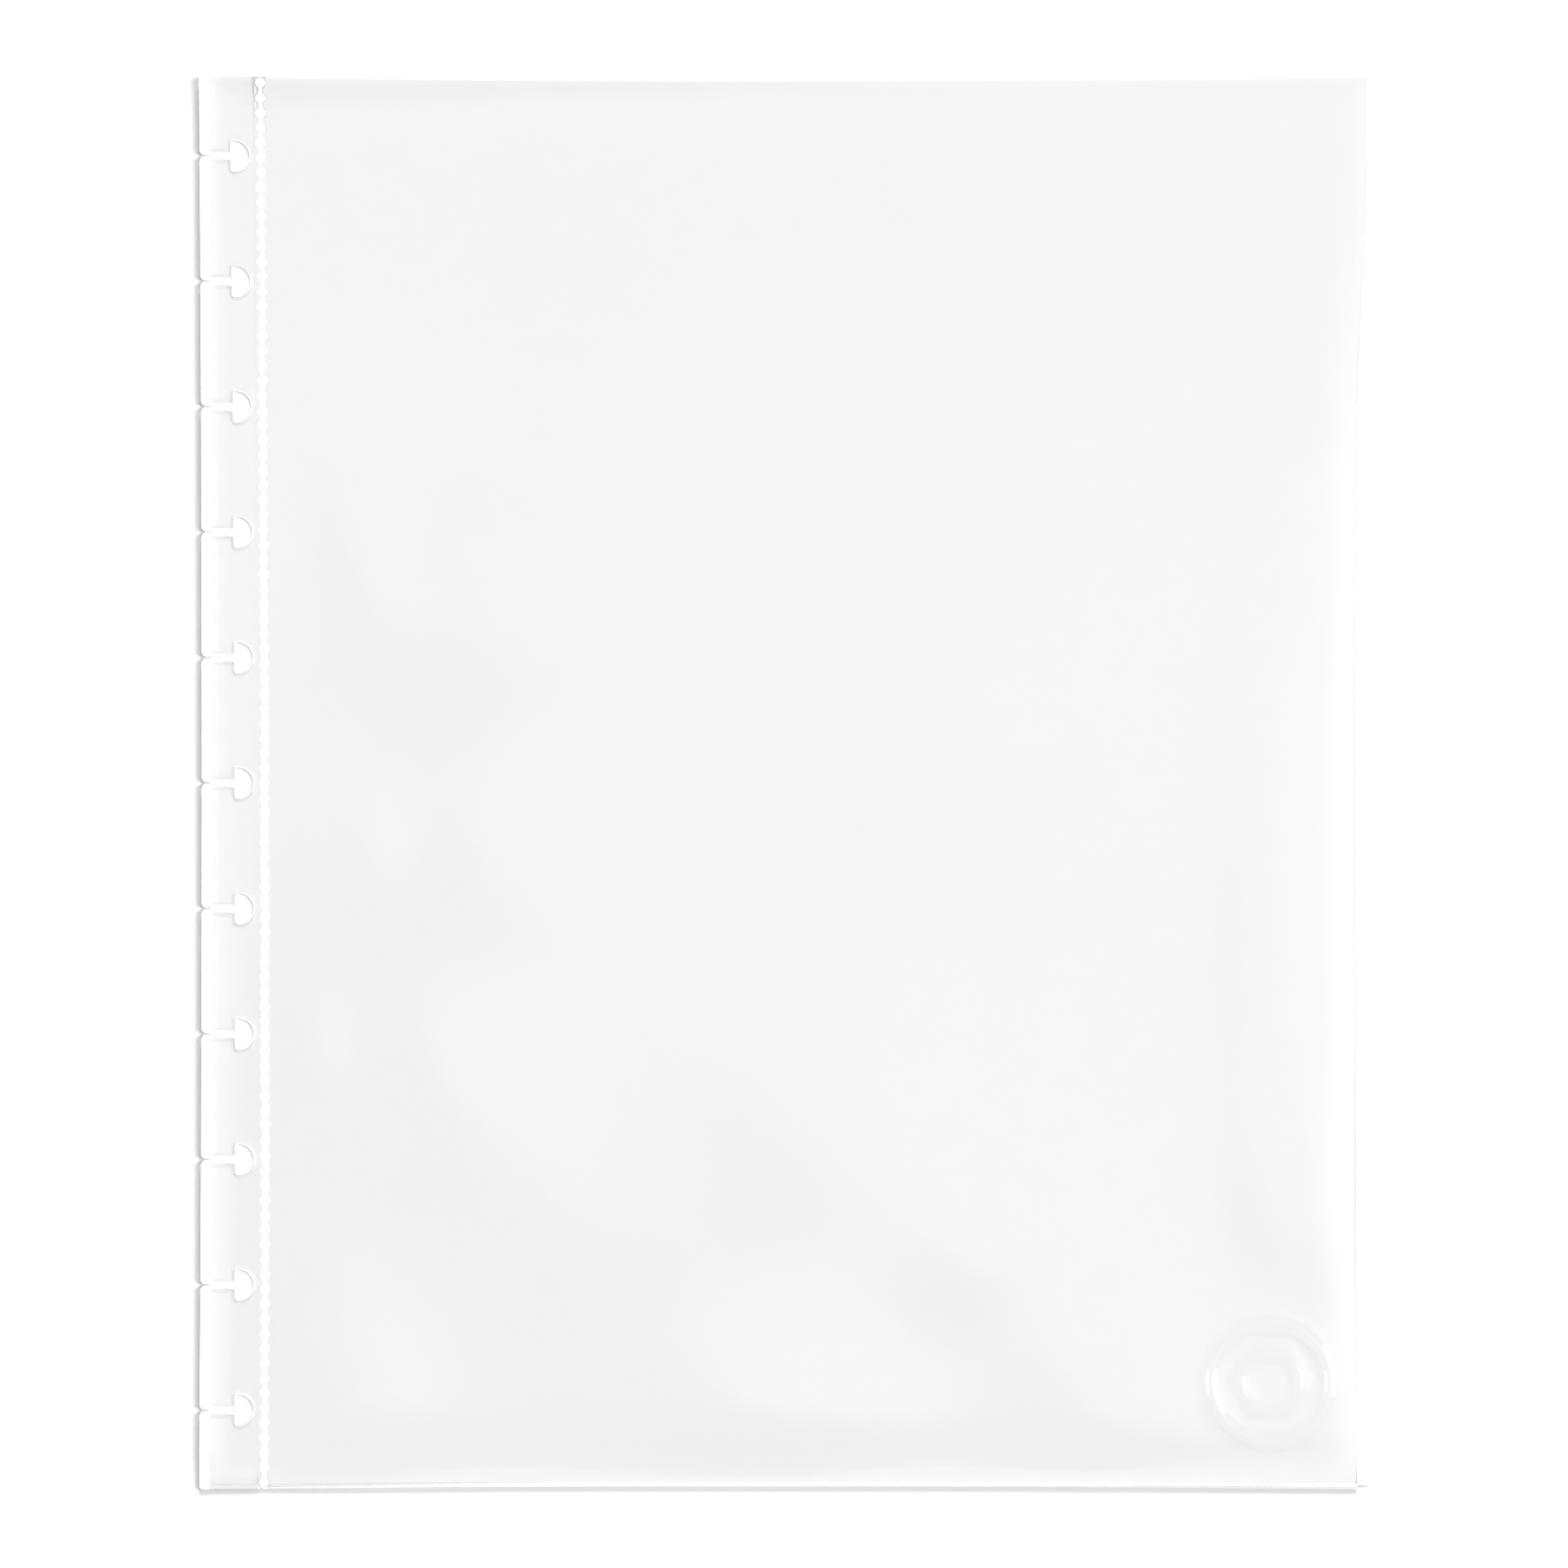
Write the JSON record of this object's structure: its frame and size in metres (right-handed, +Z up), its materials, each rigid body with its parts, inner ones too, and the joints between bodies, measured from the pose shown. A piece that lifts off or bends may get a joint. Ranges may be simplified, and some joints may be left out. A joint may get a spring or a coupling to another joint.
{
  "type": "sheet protector",
  "caption": "Clear top-loading page pocket of two welded films, with a beaded seam and a punched margin of mushroom slots that snaps onto binding discs.",
  "frame": {"origin": "under the middle of the sheet, on the surface that it lies on", "axes": "+X from the binding margin to the outer edge, +Y from the bottom weld to the open mouth, +Z up through the films"},
  "size_m": [0.2364, 0.286, 0.0007],
  "materials": {
    "clear_film": "clear polypropylene film, glossy on both sides",
    "welded_film": "polypropylene film whitened by heat where the two films are fused"
  },
  "bodies": {
    "binding_margin": {"margin_back_film": "clear_film", "margin_front_film": "clear_film", "binding_edge_weld": "welded_film", "seam_weld": "welded_film"},
    "pocket": {"pocket_back_film": "clear_film", "outer_edge_weld": "welded_film", "bottom_weld": "welded_film"},
    "front_panel": {"pocket_front_film": "clear_film"}
  },
  "joints": [
    {"name": "page_turn", "type": "hinge", "parent": "binding_margin", "child": "pocket", "pos_m": [-0.10555, 0, 0.00017], "axis": [0, -1, 0], "range_deg": [0, 90], "stiffness_Nm_per_rad": 0.02},
    {"name": "mouth_open", "type": "hinge", "parent": "pocket", "child": "front_panel", "pos_m": [0.0059, -0.142, 0.00022], "axis": [1, 0, 0], "range_deg": [0, 4], "stiffness_Nm_per_rad": 0.02}
  ]
}
